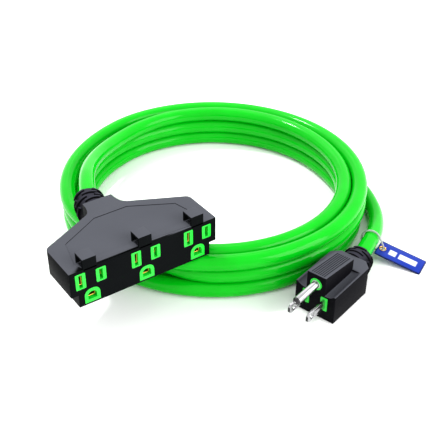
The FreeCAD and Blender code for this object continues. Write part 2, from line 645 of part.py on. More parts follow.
def make_plug_core():
    """The green core that holds the blades and the pin, with its frames standing through the face."""
    owner = body("PlugCore")
    feature(owner, "Pad", core_outline(sketch_on(owner, "XZ", "-(plug_wall + fit_gap)"), "0"),
            Length="core_depth - fit_gap", Reversed=True)
    feature(owner, "Pad", plug_windows(sketch_on(owner, "XZ", "frame_proud"), "0"), Length="plug_wall + 1",
            Reversed=True)
    slots = sketch_on(owner, "XZ", "1")
    for pole, side in BLADES:
        rectangle(slots, f"{side} * slot_spacing / 2", "blade_height", "blade_thickness", "blade_width")
    circle(slots, "0", PIN_Z, "pin_diameter / 2 + pin_collar")
    feature(owner, "Pocket", slots, Length=f"{CORE_END} + 3")
    return node(owner, "plug_core", "plug")


def make_blade(pole, side):
    """A flat nickelled blade: chamfered tip, round hole, narrow tail behind the core for its crimp."""
    owner = body(f"Blade_{pole}")
    half, tip, tail = "blade_width / 2", "blade_tip_chamfer", "tail_height / 2"
    upper = [("-blade_length", f"{half} - {tip}"), (f"-blade_length + {tip}", half), (CORE_END, half),
             (CORE_END, tail), (f"{CORE_END} + tail_length", tail)]
    corners = [(y, f"blade_height + {z}") for y, z in upper]
    corners += [(y, f"blade_height - ({z})") for y, z in reversed(upper)]
    flat = sketch_on(owner, "YZ", f"{side} * slot_spacing / 2 - blade_thickness / 2")
    feature(owner, "Pad", outline(flat, corners), Length="blade_thickness")
    hole = sketch_on(owner, "YZ", f"{side} * slot_spacing / 2 + blade_thickness")
    circle(hole, "-blade_length + blade_hole_from_tip", "blade_height", "blade_hole / 2")
    feature(owner, "Pocket", hole, Length="2 * blade_thickness")
    return node(owner, f"blade_{pole}", "plug")


def make_ground_pin():
    """A round pin with a domed tip, a collar inside the core and a thin tail behind it for its crimp."""
    dome = doc.addObject("Part::Sphere", "Tip")
    drive(dome, Radius="pin_diameter / 2", Placement__Base__y="-pin_length + pin_diameter / 2",
          Placement__Base__z=PIN_Z)
    shaft = rod_y("0", "-pin_length + pin_diameter / 2", PIN_Z, "pin_diameter / 2",
                  "pin_length - pin_diameter / 2")
    collar = rod_y("0", "-frame_proud", PIN_Z, "pin_diameter / 2 + pin_collar", f"{CORE_END} + frame_proud")
    tail = rod_y("0", CORE_END, PIN_Z, "tail_height / 2", "tail_length")
    return node(join([dome, shaft, collar, tail], "ground_pin"), "ground_pin", "plug")


def make_plug_wiring():
    """Three barrels behind the core on the blades' and the pin's tails, and the wires from the jacket."""
    core, half = size("wire_spread"), size("slot_spacing") / 2
    core_end = size("plug_wall") + size("core_depth")
    cord_start, cord_z = size("plug_length") - size("plug_tail"), size("plug_cord_height")
    wire_start = core_end + size("tail_length") + 0.4
    barrel_end = core_end + 0.2 + size("barrel_length")
    y = f"({CORE_END} + 0.2)"
    reach = "tail_length + 0.9"
    spots = {"neutral": (-half, 0, -core, -core * 0.6), "hot": (half, 0, core, -core * 0.6),
             "ground": (0, size("pin_rise"), 0, core)}
    for pole, (tail_x, rise, core_x, core_z) in spots.items():
        if pole == "ground":
            x, z = "0", PIN_Z
            tail = rod_y(x, f"{y} - 1", z, "tail_height / 2", reach)
        else:
            x, z = f"{dict(BLADES)[pole]} * slot_spacing / 2", "blade_height"
            tail = box(f"{x} - blade_thickness / 2", f"{y} - 1", f"{z} - tail_height / 2",
                       "blade_thickness", reach, "tail_height")
        make_barrel(f"plug_crimp_{pole}", "plug", x, y, z, tail)
        tail_z = size("blade_height") + rise
        wire_piece(f"plug_wire_{pole}", "plug", [
            (tail_x, wire_start, tail_z), (tail_x, barrel_end + 2.5, tail_z),
            (core_x, cord_start - 6, cord_z + core_z), (core_x, cord_start, cord_z + core_z)])


make_plug_housing()
make_plug_core()
for pole, side in BLADES:
    make_blade(pole, side)
make_ground_pin()
make_relief("plug")
make_tail("plug", PLUG_CORD_START)
make_plug_wiring()


# ---------------------------------------------------------------- tag and its plastic loop
def turned(thing, label):
    """Stand a piece of the tag at the eyelet, turned and sloping down to the floor."""
    thing.Placement = Placement(Vector(size("tag_x"), size("tag_y"), size("tag_z")),
                                Rotation(size("tag_turn"), size("tag_slope"), 0))
    return node(thing, label)


def make_tag_plate():
    owner = body("TagPlate")
    plate = sketch_on(owner, "XY", "-tag_thickness / 2")
    rectangle(plate, "tag_length / 2 - eyelet_from_end", "0", "tag_length", "tag_width")
    feature(owner, "Pad", plate, Length="tag_thickness")
    soften(owner, "Fillet", "tag_corner", lambda middle, along, edge: abs(along.z) > 0.9)
    hole = sketch_on(owner, "XY", "tag_thickness")
    circle(hole, "0", "0", "eyelet_hole / 2 + eyelet_lip")
    feature(owner, "Pocket", hole, Length="2 * tag_thickness")
    return turned(owner, "tag_plate")


def make_eyelet():
    """A metal eyelet: a short barrel through the tag with a flange on each face."""
    tall = "(tag_thickness + 2 * eyelet_lip)"
    barrel = doc.addObject("Part::Cylinder", "Barrel")
    drive(barrel, Radius="eyelet_hole / 2 + eyelet_lip", Height=tall, Placement__Base__z=f"-{tall} / 2")
    flanges = []
    for low in ("tag_thickness / 2", "-tag_thickness / 2 - eyelet_lip"):
        flange = doc.addObject("Part::Cylinder", "Flange")
        flanges.append(drive(flange, Radius="eyelet_hole / 2 + eyelet_flange", Height="eyelet_lip",
                             Placement__Base__z=low))
    bore = doc.addObject("Part::Cylinder", "Bore")
    drive(bore, Radius="eyelet_hole / 2", Height=f"{tall} + 2", Placement__Base__z=f"-{tall} / 2 - 1")
    return turned(less(join([barrel] + flanges, "eyelet_shell"), [bore], "tag_eyelet"), "tag_eyelet")


def make_tag_loop():
    """A thin plastic strand in a closed loop, round the cord at one end, through the eyelet at the other."""
    path, radii = route(PLUG_LEAD)
    eyelet = Vector(size("tag_x"), size("tag_y"), size("tag_z"))
    gap, pairs, info = path.distToShape(Part.Vertex(eyelet))
    centre = pairs[0][0]
    reach = (eyelet - centre).normalize()
    ahead = Vector(*PLUG_LEAD[1]) - Vector(*PLUG_LEAD[2])
    side = ahead.cross(reach).normalize()
    axis = reach.cross(side)
    big = size("cord_diameter") / 2 + size("strand_gap") + size("strand_diameter") / 2
    tip = size("strand_tip_radius")
    far = eyelet - reach * tip
    lean = math.acos((big - tip) / (far - centre).Length)

    def spot(middle, radius, angle):
        return middle + (reach * math.cos(angle) + side * math.sin(angle)) * radius
    a, b = spot(centre, big, lean), spot(centre, big, -lean)
    c, d = spot(far, tip, -lean), spot(far, tip, lean)
    wire = Part.Wire([Part.Arc(a, centre - reach * big, b).toShape(), Part.LineSegment(b, c).toShape(),
                      Part.Arc(c, eyelet, d).toShape(), Part.LineSegment(d, a).toShape()])
    made = doc.addObject("Part::Feature", "TagLoop")
    made.Shape = swept(wire, a, d - a, size("strand_diameter") / 2)
    print("tag loop hinge", [round(v, 2) for v in centre], "axis", [round(v, 4) for v in axis])
    print("tag hinge", [round(v, 2) for v in eyelet], "axis", [round(v, 4) for v in side])
    return node(made, "tag_loop")


make_tag_plate()
make_eyelet()
make_tag_loop()

# ---------------------------------------------------------------- check and export
doc.recompute()
for thing in doc.Objects:
    bad = [state for state in thing.State if state in ("Invalid", "Error")]
    if bad:
        raise RuntimeError(f"{thing.Name} ({thing.Label}) is {bad}")
os.makedirs("parts", exist_ok=True)
whole = FreeCAD.BoundBox()
for thing in nodes:
    shape = thing.Shape
    if shape.isNull() or not shape.isValid() or shape.Volume <= 0:
        raise RuntimeError(f"{thing.Label} has no sound shape")
    whole.add(shape.BoundBox)
    shape.exportStep(f"parts/{thing.Label}.step")
print(len(nodes), "nodes; whole", whole)
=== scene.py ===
import bpy
import bmesh
import math
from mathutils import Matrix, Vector


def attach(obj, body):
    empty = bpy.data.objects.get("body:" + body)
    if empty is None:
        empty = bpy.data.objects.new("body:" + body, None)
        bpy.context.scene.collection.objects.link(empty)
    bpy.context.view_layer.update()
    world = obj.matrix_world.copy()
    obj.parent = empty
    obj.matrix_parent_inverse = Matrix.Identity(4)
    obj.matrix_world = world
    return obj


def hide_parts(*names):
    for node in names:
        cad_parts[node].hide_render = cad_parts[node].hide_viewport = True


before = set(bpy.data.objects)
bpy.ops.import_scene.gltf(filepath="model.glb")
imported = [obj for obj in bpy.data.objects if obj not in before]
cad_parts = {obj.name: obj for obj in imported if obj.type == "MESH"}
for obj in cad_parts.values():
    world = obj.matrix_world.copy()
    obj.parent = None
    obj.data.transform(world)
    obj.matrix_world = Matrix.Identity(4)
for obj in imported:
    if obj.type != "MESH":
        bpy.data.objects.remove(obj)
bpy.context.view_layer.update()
bpy.ops.object.select_all(action="DESELECT")

# ---- Camera -----------------------------------------------------------------------------------
# Stands in front of the tap's left end, above the coil, and looks down at the middle of the whole.
MM = 0.001
camera_place = Vector((-268.1, -396.0, 336.3)) * MM
camera_azimuth, camera_tilt = math.radians(34.9), math.radians(34.2)
camera_lens, sensor_width = 70.9, 36.0
bpy.ops.object.camera_add(location=camera_place,
                          rotation=(math.pi / 2 - camera_tilt, 0, -camera_azimuth))
camera = bpy.context.object
camera.data.lens = camera_lens
camera.data.sensor_width = sensor_width
bpy.context.scene.camera = camera

# ---- The cord ---------------------------------------------------------------------------------
# A 14 gauge three-core cord in a glossy green jacket. It leaves the tap's sleeve, settles into a coil two
# strands wide and three high, shifts one place at each turn, and leaves the coil low down for the plug.
cord_width = 10.6 * MM
coil_middle = Vector((22.0, 19.7, 0)) * MM
tap_lead = [(-76.58, 18.05, 43.2), (-68.85, 35.41, 43.2), (-58.9, 53.0, 39.8), (-46.9, 69.3, 35.2),
            (-32.9, 83.6, 31.0), (-17.2, 95.2, 27.8), (0.5, 104.4, 25.8)]
plug_lead = [(54.93, -97.7, 11.6), (68.1, -90.55, 11.6), (83.0, -81.6, 9.2), (98.3, -67.6, 6.2),
             (109.6, -51.5, 5.3), (118.3, -31.0, 5.3), (123.3, -8.5, 5.3), (124.6, 14.5, 5.3)]
inner, outer = 91.5 * MM, 102.1 * MM
low, mid, top = 5.3 * MM, 15.15 * MM, 25.0 * MM
# the places that one strand takes, turn after turn, and the share of a turn in which it shifts to the next
places = [(inner, top), (outer, top), (outer, mid), (inner, mid), (inner, low), (outer, low)]
shifts = [(0.69, 0.78), (0.65, 0.74), (0.61, 0.70), (0.40, 0.50), (0.30, 0.42)]
coil_start, coil_points, points_per_turn = math.radians(95), 126, 24
spline_shrink = 0.75 + 0.25 * math.cos(2 * math.pi / points_per_turn)
settle_in, settle_share = 2.5 * MM, 0.05
# behind the tap the outer strand stands off a little, which leaves a thin gap beside the lead
bulge_start, bulge_out = 0.66, 0.8 * MM


def strand_place(turned):
    """Radius and height of the strand after so many turns, a little uneven, as wound by hand."""
    turn = int(turned)
    share = turned - turn
    radius, height = places[turn]
    if turn < len(shifts) and share > shifts[turn][0]:
        start, end = shifts[turn]
        step = min(1, (share - start) / (end - start))
        step = step * step * (3 - 2 * step)
        there = places[turn + 1]
        radius += (there[0] - radius) * step
        height += (there[1] - height) * step
    angle = 2 * math.pi * share
    radius += 0.5 * MM * math.sin(2 * angle + 1.7 * turn) + 0.35 * MM * math.sin(3 * angle + 2.3 * turn)
    if height > low:
        height += 0.25 * MM * math.sin(2 * angle + 0.9 * turn)
    if turned < settle_share:
        radius -= settle_in * (1 - turned / settle_share) ** 2
    if turn == 0 and bulge_start < share:
        radius += bulge_out * math.sin(math.pi * (share - bulge_start) / (1 - bulge_start)) ** 2
    return radius, height


cord_points = [Vector(point) * MM for point in tap_lead]
for i in range(coil_points):
    turned = i / points_per_turn
    radius, height = strand_place(turned)
    angle = coil_start - 2 * math.pi * turned
    reach = radius / spline_shrink
    cord_points.append(coil_middle + Vector((reach * math.cos(angle), reach * math.sin(angle), height)))
cord_points += [Vector(point) * MM for point in reversed(plug_lead)]

cord_curve = bpy.data.curves.new("cord", "CURVE")
cord_curve.dimensions = "3D"
line = cord_curve.splines.new("NURBS")
line.points.add(len(cord_points) - 1)
for point, place in zip(line.points, cord_points):
    point.co = (*place, 1)
line.order_u = 3
line.use_endpoint_u = True
line.resolution_u = 6
cord_curve.bevel_depth = cord_width / 2
cord_curve.bevel_resolution = 7
cord_curve.use_fill_caps = True
cord = bpy.data.objects.new("cord", cord_curve)
bpy.context.scene.collection.objects.link(cord)


def moulded(name, deep, pale, roughness, shine, mottle_size, grain_size, grain_depth):
    """A plastic: two close shades in soft patches, a fine grain, and a gloss that varies a little."""
    made = bpy.data.materials.new(name)
    made.use_nodes = True
    nodes, links = made.node_tree.nodes, made.node_tree.links
    shader = nodes["Principled BSDF"]
    shader.inputs["Specular IOR Level"].default_value = shine
    place = nodes.new("ShaderNodeTexCoord").outputs["Object"]
    mottle, grain = nodes.new("ShaderNodeTexNoise"), nodes.new("ShaderNodeTexNoise")
    for noise, size, detail in ((mottle, mottle_size, 3), (grain, grain_size, 2)):
        links.new(place, noise.inputs["Vector"])
        noise.inputs["Scale"].default_value = 1 / (size * MM)
        noise.inputs["Detail"].default_value = detail
    shades = nodes.new("ShaderNodeMix")
    shades.data_type = "RGBA"
    shades.inputs["A"].default_value = (*deep, 1)
    shades.inputs["B"].default_value = (*pale, 1)
    links.new(mottle.outputs["Fac"], shades.inputs["Factor"])
    links.new(shades.outputs["Result"], shader.inputs["Base Color"])
    gloss = nodes.new("ShaderNodeMapRange")
    gloss.inputs["To Min"].default_value = roughness - 0.05
    gloss.inputs["To Max"].default_value = roughness + 0.05
    links.new(mottle.outputs["Fac"], gloss.inputs["Value"])
    links.new(gloss.outputs["Result"], shader.inputs["Roughness"])
    bump = nodes.new("ShaderNodeBump")
    bump.inputs["Strength"].default_value = 0.6
    bump.inputs["Distance"].default_value = grain_depth * MM
    links.new(grain.outputs["Fac"], bump.inputs["Height"])
    links.new(bump.outputs["Normal"], shader.inputs["Normal"])
    return made


jacket = moulded("green_jacket", deep=(0.0005, 0.36, 0.004), pale=(0.001, 0.47, 0.009), roughness=0.12,
                 shine=0.15, mottle_size=18, grain_size=1.6, grain_depth=0.03)
cord_curve.materials.append(jacket)
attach(cord, "root")
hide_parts("cord_to_tap", "cord_coil", "cord_to_plug")

# ---- Tap housing ------------------------------------------------------------------------------
# The broad end with three outlets, moulded in black PVC: a front block that fans in to a neck, stepped at
# its lower ends, with a sunken grained panel on top and a small loop over each outlet for a cord tie.
tap_at = Vector((-81.2, -61.3, 30.7)) * MM
tap_half, tap_side, tap_top, tap_lower = 48.2, 28.5, 25.0, 8.7
tap_lower_half = 43.7
tap_fan = [(14.0, 45.4), (12.2, 46.9), (11.0, 49.2), (10.2, 52.6), (9.8, 57.6)]
tap_corner, mould_edge = 2.5, 0.45
panel_inset, panel_depth = 7.0, 0.45
panel_moves = [((41.2, 24.15), (-4.5, 2.35)), ((12.35, 38.4), (-1.35, 2.0))]
outlet_pitch = 35.2
outlet_shifts = (-outlet_pitch, 0.0, outlet_pitch)
tie_loop_low, tie_loop_high, tie_loop_wall = (-4.3, 0.0, 23.5), (4.3, 9.0, 31.2), 1.5
# how far a point may be from the place that it is chosen by
near = 0.3


def add_block(name, low, high):
    """A plain block between two corners, ready to be shaped."""
    bpy.ops.object.select_all(action="DESELECT")
    low, high = Vector(low), Vector(high)
    bpy.ops.mesh.primitive_cube_add(size=1, location=(low + high) / 2 * MM)
    block = bpy.context.object
    block.name = block.data.name = name
    block.scale = (high - low) * MM
    bpy.ops.object.transform_apply(location=True, rotation=False, scale=True)
    return block


def choose(kind, test, among=False):
    """Select only the points, edges or faces whose middle, in millimetres, and direction pass a test."""
    bpy.ops.mesh.select_mode(type=kind)
    mesh = bmesh.from_edit_mesh(bpy.context.edit_object.data)
    whole = {"VERT": mesh.verts, "EDGE": mesh.edges, "FACE": mesh.faces}[kind]
    before = [part for part in whole if part.select or not among]
    bpy.ops.mesh.select_all(action="DESELECT")
    for part in before:
        if kind == "VERT":
            passed = test(part.co / MM)
        elif kind == "EDGE":
            start, end = part.verts[0].co, part.verts[1].co
            passed = test((start + end) / 2 / MM, (end - start).normalized())
        else:
            passed = test(part.calc_center_median() / MM, part.normal)
        if passed:
            part.select_set(True)
    bmesh.update_edit_mesh(bpy.context.edit_object.data)


def pick(piece):
    """Select one piece alone, for the operators that follow."""
    bpy.ops.object.select_all(action="DESELECT")
    piece.select_set(True)
    bpy.context.view_layer.objects.active = piece


def pull(*shift):
    """Extrude what is chosen by a shift in millimetres."""
    bpy.ops.mesh.extrude_region_move(TRANSFORM_OT_translate={"value": Vector(shift) * MM})


def move(*shift):
    bpy.ops.transform.translate(value=Vector(shift) * MM)


def spread(ratios, middle):
    bpy.ops.transform.resize(value=ratios, center_override=Vector(middle) * MM)


def edit(on=True):
    bpy.ops.object.mode_set(mode="EDIT" if on else "OBJECT")


def finish_with(piece, kind, **settings):
    """Put a modifier on a piece and apply it."""
    pick(piece)
    worker = piece.modifiers.new(kind, kind)
    for name, value in settings.items():
        setattr(worker, name, value)
    bpy.ops.object.modifier_apply(modifier=worker.name)


def ease_edges(piece, width, segments=2):
    finish_with(piece, "BEVEL", width=width * MM, segments=segments, limit_method="ANGLE",
                angle_limit=math.radians(30), use_clamp_overlap=True)


def weld(piece, tool, operation):
    """Join a tool to the piece or cut it away, and throw the tool away."""
    finish_with(piece, "BOOLEAN", object=tool, operation=operation, solver="EXACT")
    bpy.data.objects.remove(tool)


def twin_of(piece):
    """A copy of a piece, with its own mesh."""
    twin = piece.copy()
    twin.data = piece.data.copy()
    bpy.context.scene.collection.objects.link(twin)
    return twin


def copies(piece, shifts):
    """Copies of the piece along the row of outlets, as one mesh, in place of the piece itself."""
    made = []
    for shift in shifts:
        twin = twin_of(piece)
        twin.location.x += shift * MM
        made.append(twin)
    bpy.data.objects.remove(piece)
    return united(made)


def united(pieces):
    bpy.ops.object.select_all(action="DESELECT")
    for piece in pieces:
        piece.select_set(True)
    bpy.context.view_layer.objects.active = pieces[0]
    if len(pieces) > 1:
        bpy.ops.object.join()
    bpy.ops.object.transform_apply(location=True, rotation=True, scale=True)
    return pieces[0]


def stepped_block(name, wide, thin, low, step, high, front, back):
    """A block that is broad above a step and narrower below it."""
    block = add_block(name, (-wide, front, step), (wide, back, high))
    edit()
    choose("FACE", lambda at, facing: facing.z < -0.9)
    pull(0, 0, 0)
    spread((thin / wide, 1, 1), (0, 0, 0))
    pull(0, 0, low - step)
    edit(False)
    return block


def arch(name, middle, half, low, high, curve, front, back):
    """A flat-bottomed arch: a block with its two upper edges rounded."""
    block = add_block(name, (-half, front, middle + low), (half, back, middle + high))
    edit()
    choose("EDGE", lambda at, along: abs(along.y) > 0.9 and at.z > middle)
    bpy.ops.mesh.bevel(offset=curve * MM, segments=8)
    edit(False)
    return block


def set_down(piece, place, turn=0.0, slope=0.0):
    """Stand a finished piece where it belongs, with its place in its mesh."""
    pick(piece)
    piece.location, piece.rotation_euler = place, (0, slope, turn)
    bpy.ops.object.transform_apply(location=True, rotation=True, scale=True)
    bpy.ops.object.shade_smooth_by_angle(angle=math.radians(35))


def give_finish(piece, *finishes):
    """Put a piece's own materials in place of any that it has."""
    piece.data.materials.clear()
    for finish in finishes:
        piece.data.materials.append(finish)


tap = add_block("tap_shell", (-tap_half, 0, tap_lower), (tap_half, tap_side, tap_top))
edit()
choose("FACE", lambda at, facing: facing.y > 0.9)
half, back = tap_half, tap_side
for new_half, new_back in tap_fan:
    pull(0, new_back - back, 0)
    spread((new_half / half, 1, 1), (0, 0, 0))
    half, back = new_half, new_back
choose("FACE", lambda at, facing: facing.z < -0.9)
pull(0, 0, 0)
choose("VERT", lambda at: abs(at.x) > 20, among=True)
spread((tap_lower_half / tap_half, 1, 1), (0, 0, 0))
choose("FACE", lambda at, facing: facing.z < -0.9 and at.z < tap_lower + near and abs(at.x) < 5)
pull(0, 0, -tap_lower)
choose("FACE", lambda at, facing: facing.z > 0.9 and at.y < tap_fan[0][1] - near)
bpy.ops.mesh.inset(thickness=panel_inset * MM)
for (x, y), (out, back) in panel_moves:
    for side in (-1, 1):
        choose("VERT", lambda at: math.hypot(at.x - side * x, at.y - y) < 1 and at.z > tap_top - near)
        move(side * out, back, 0)
choose("FACE", lambda at, facing: facing.z > 0.9 and abs(at.x) < near and at.y < 36 and at.y > 10)
pull(0, 0, -panel_depth)
choose("EDGE", lambda at, along: abs(along.z) > 0.9 and abs(at.x) > 40 and at.y > 20)
bpy.ops.mesh.bevel(offset=tap_corner * MM, segments=4)
edit(False)
ease_edges(tap, mould_edge)

tie_loop = add_block("tie_loop", tie_loop_low, tie_loop_high)
edit()
choose("FACE", lambda at, facing: abs(facing.x) > 0.9)
bpy.ops.mesh.inset(thickness=tie_loop_wall * MM, use_individual=True)
bpy.ops.mesh.bridge_edge_loops()
edit(False)
ease_edges(tie_loop, 0.35)
weld(tap, copies(tie_loop, outlet_shifts), "UNION")

# the windows in the front wall for the green frames, and the inserts' recesses behind them
slot_height, ground_height = 17.4, 5.5
# how far each pole stands from the middle, in an outlet and on the plug alike
pole_aside = 6.35
front_wall, insert_back = 2.4, 15.0
slot_frames = [(-pole_aside, 3.15, 5.3), (pole_aside, 3.15, 4.6)]
ground_frame_half, ground_frame_low, ground_frame_curve = 4.9, 4.45, 4.2
fit = 0.1
recess = stepped_block("recess", 11.0 + fit, 6.5 + fit, 1.4, 9.6, 23.2, front_wall, insert_back + 0.9)
weld(tap, copies(recess, outlet_shifts), "DIFFERENCE")
windows = [arch("ground_window", ground_height, ground_frame_half + fit, -ground_frame_low - fit,
                ground_frame_half + fit, ground_frame_curve, -1, front_wall + 0.5)]
for x, wide, tall in slot_frames:
    windows.append(add_block("slot_window", (x - wide - fit, -1, slot_height - tall - fit),
                             (x + wide + fit, front_wall + 0.5, slot_height + tall + fit)))
weld(tap, copies(united(windows), outlet_shifts), "DIFFERENCE")
set_down(tap, tap_at)


def black_moulding(name, smooth, painted_top_sheen):
    """Black PVC with a painted sheen: faces that point up are painted paler, standing in for the light that
    the tops catch, so its front and sides stay near black.
    """
    made = moulded(name, deep=smooth, pale=[1.3 * part for part in smooth], roughness=0.4, shine=0.008,
                   mottle_size=14, grain_size=0.55, grain_depth=0.05)
    nodes, links = made.node_tree.nodes, made.node_tree.links
    shader = nodes["Principled BSDF"]
    # painted sheen: the upward part of the normal mixes in the paler colour where light falls on the tops
    facing = nodes.new("ShaderNodeNewGeometry")
    split = nodes.new("ShaderNodeSeparateXYZ")
    links.new(facing.outputs["Normal"], split.inputs["Vector"])
    share = nodes.new("ShaderNodeMapRange")
    share.interpolation_type = "SMOOTHSTEP"
    share.inputs["From Min"].default_value = 0.45
    share.inputs["From Max"].default_value = 0.95
    links.new(split.outputs["Z"], share.inputs["Value"])
    painted_sheen = nodes.new("ShaderNodeMix")
    painted_sheen.data_type = "RGBA"
    painted_sheen.inputs["B"].default_value = (*painted_top_sheen, 1)
    links.new(share.outputs["Result"], painted_sheen.inputs["Factor"])
    links.new(shader.inputs["Base Color"].links[0].from_socket, painted_sheen.inputs["A"])
    links.new(painted_sheen.outputs["Result"], shader.inputs["Base Color"])
    return made


# the second colour is the painted sheen on the tap's up-facing faces
tap_plastic = black_moulding("tap_moulding", (0.003, 0.0035, 0.0038), (0.066, 0.069, 0.081))
give_finish(tap, tap_plastic)
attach(tap, "root")
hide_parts("tap_housing")

# ---- Outlet inserts ---------------------------------------------------------------------------
# Bright green nylon blocks behind the front wall. Their rounded frames stand through it, flush with the
# front, round the two blade slots and the arched ground hole; pockets behind the face hold the contacts.
slots = [(-pole_aside, 1.1, 4.3), (pole_aside, 1.1, 3.6)]
slot_depth, insert_face = 12.4, 5.0
insert = stepped_block("outlet_insert", 11.0, 6.5, 1.5, 9.7, 23.1, front_wall + fit, insert_back)
frames = [arch("ground_frame", ground_height, ground_frame_half, -ground_frame_low, ground_frame_half,
               ground_frame_curve, 0, front_wall + 0.6)]
for x, wide, tall in slot_frames:
    block = add_block("slot_frame", (x - wide, 0, slot_height - tall),
                      (x + wide, front_wall + 0.6, slot_height + tall))
    edit()
    choose("EDGE", lambda at, along: abs(along.y) > 0.9)
    bpy.ops.mesh.bevel(offset=0.8 * MM, segments=4)
    edit(False)
    frames.append(block)
frames = united(frames)
ease_edges(frames, 0.2)
weld(insert, frames, "UNION")
holes = [arch("ground_hole", ground_height, 2.8, -2.35, 2.8, 2.4, -1, slot_depth)]
for x, wide, tall in slots:
    holes.append(add_block("slot", (x - wide, -1, slot_height - tall),
                           (x + wide, slot_depth, slot_height + tall)))
weld(insert, united(holes), "DIFFERENCE")
pockets = [add_block("ground_pocket", (-3.1, insert_face, ground_height - 2.8),
                     (3.1, insert_back + 1, ground_height + 2.8))]
for x, wide, tall in slots:
    pockets.append(add_block("slot_pocket", (x - 2.5, insert_face, slot_height - 4.9),
                             (x + 2.5, insert_back + 1, slot_height + 4.9)))
weld(insert, united(pockets), "DIFFERENCE")
green_nylon = moulded("green_nylon", deep=(0.004, 0.50, 0.016), pale=(0.012, 0.66, 0.04), roughness=0.36,
                      shine=0.4, mottle_size=6, grain_size=0.5, grain_depth=0.02)
for name, shift in zip(("left", "middle", "right"), outlet_shifts):
    piece = twin_of(insert)
    piece.name = piece.data.name = f"outlet_{name}_green"
    set_down(piece, tap_at + Vector((shift, 0, 0)) * MM)
    give_finish(piece, green_nylon)
    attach(piece, "root")
    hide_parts(f"outlet_insert_{name}")
bpy.data.objects.remove(insert)

# ---- Contacts ---------------------------------------------------------------------------------
# Pressed brass springs behind the slots and the ground hole. Each is a strip folded into a channel whose
# lips reach forward into the slot, where the light catches them, with a foot riveted to its pole's strip.
def metal(name, colour, stain, roughness, streak=(1, 1, 1), depth=0.01):
    """A rolled or plated metal: fine streaks along it, faint stains, a gloss that varies."""
    made = bpy.data.materials.new(name)
    made.use_nodes = True
    nodes, links = made.node_tree.nodes, made.node_tree.links
    shader = nodes["Principled BSDF"]
    shader.inputs["Metallic"].default_value = 1
    place = nodes.new("ShaderNodeTexCoord").outputs["Object"]
    along = nodes.new("ShaderNodeMapping")
    along.inputs["Scale"].default_value = streak
    links.new(place, along.inputs["Vector"])
    lines, cloud = nodes.new("ShaderNodeTexNoise"), nodes.new("ShaderNodeTexNoise")
    lines.inputs["Scale"].default_value = 1 / (0.5 * MM)
    cloud.inputs["Scale"].default_value = 1 / (5 * MM)
    links.new(along.outputs["Vector"], lines.inputs["Vector"])
    links.new(place, cloud.inputs["Vector"])
    shades = nodes.new("ShaderNodeMix")
    shades.data_type = "RGBA"
    shades.inputs["A"].default_value = (*colour, 1)
    shades.inputs["B"].default_value = (*stain, 1)
    links.new(cloud.outputs["Fac"], shades.inputs["Factor"])
    links.new(shades.outputs["Result"], shader.inputs["Base Color"])
    gloss = nodes.new("ShaderNodeMapRange")
    gloss.inputs["To Min"].default_value = roughness - 0.06
    gloss.inputs["To Max"].default_value = roughness + 0.08
    links.new(lines.outputs["Fac"], gloss.inputs["Value"])
    links.new(gloss.outputs["Result"], shader.inputs["Roughness"])
    bump = nodes.new("ShaderNodeBump")
    bump.inputs["Strength"].default_value = 0.4
    bump.inputs["Distance"].default_value = depth * MM
    links.new(lines.outputs["Fac"], bump.inputs["Height"])
    links.new(bump.outputs["Normal"], shader.inputs["Normal"])
    return made


def channel(name, half, low, high, front, back, open_side, wall):
    """A strip folded round three sides: a block with its front and one more face taken away."""
    piece = add_block(name, (-half, front, low), (half, back, high))
    edit()
    choose("FACE", lambda at, facing: facing.y < -0.9 or facing.dot(Vector(open_side)) > 0.9)
    bpy.ops.mesh.delete(type="FACE")
    edit(False)
    finish_with(piece, "SOLIDIFY", thickness=wall * MM, offset=-1)
    ease_edges(piece, 0.1, 1)
    return piece


contact_brass = metal("contact_brass", (0.95, 0.50, 0.10), (0.80, 0.38, 0.07), 0.3, streak=(1, 0.1, 1))
# where each pole's contact stands, its half width, lowest and highest point, its front and its open side
contact_shapes = {"ground": (0.0, ground_height, 2.75, -2.3, 2.2, 3.0, (0, 0, 1)),
                  "neutral": (-pole_aside, slot_height, 1.09, -3.0, 3.9, 1.5, (0, 0, 1)),
                  "hot": (pole_aside, slot_height, 1.09, -2.6, 3.2, 3.2, (0, 0, 1))}
for pole, (x, z, half, floor_z, lip_z, front, open_side) in contact_shapes.items():
    clip = channel("clip", half, floor_z, lip_z, front, insert_back - 0.1, open_side, 0.35)
    for name, shift in zip(("left", "middle", "right"), outlet_shifts):
        piece = twin_of(clip)
        piece.name = piece.data.name = f"contact_{pole}_{name}_brass"
        set_down(piece, tap_at + Vector((shift + x, 0, z)) * MM)
        give_finish(piece, contact_brass)
        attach(piece, "root")
        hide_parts(f"contact_{pole}_{name}")
    bpy.data.objects.remove(clip)

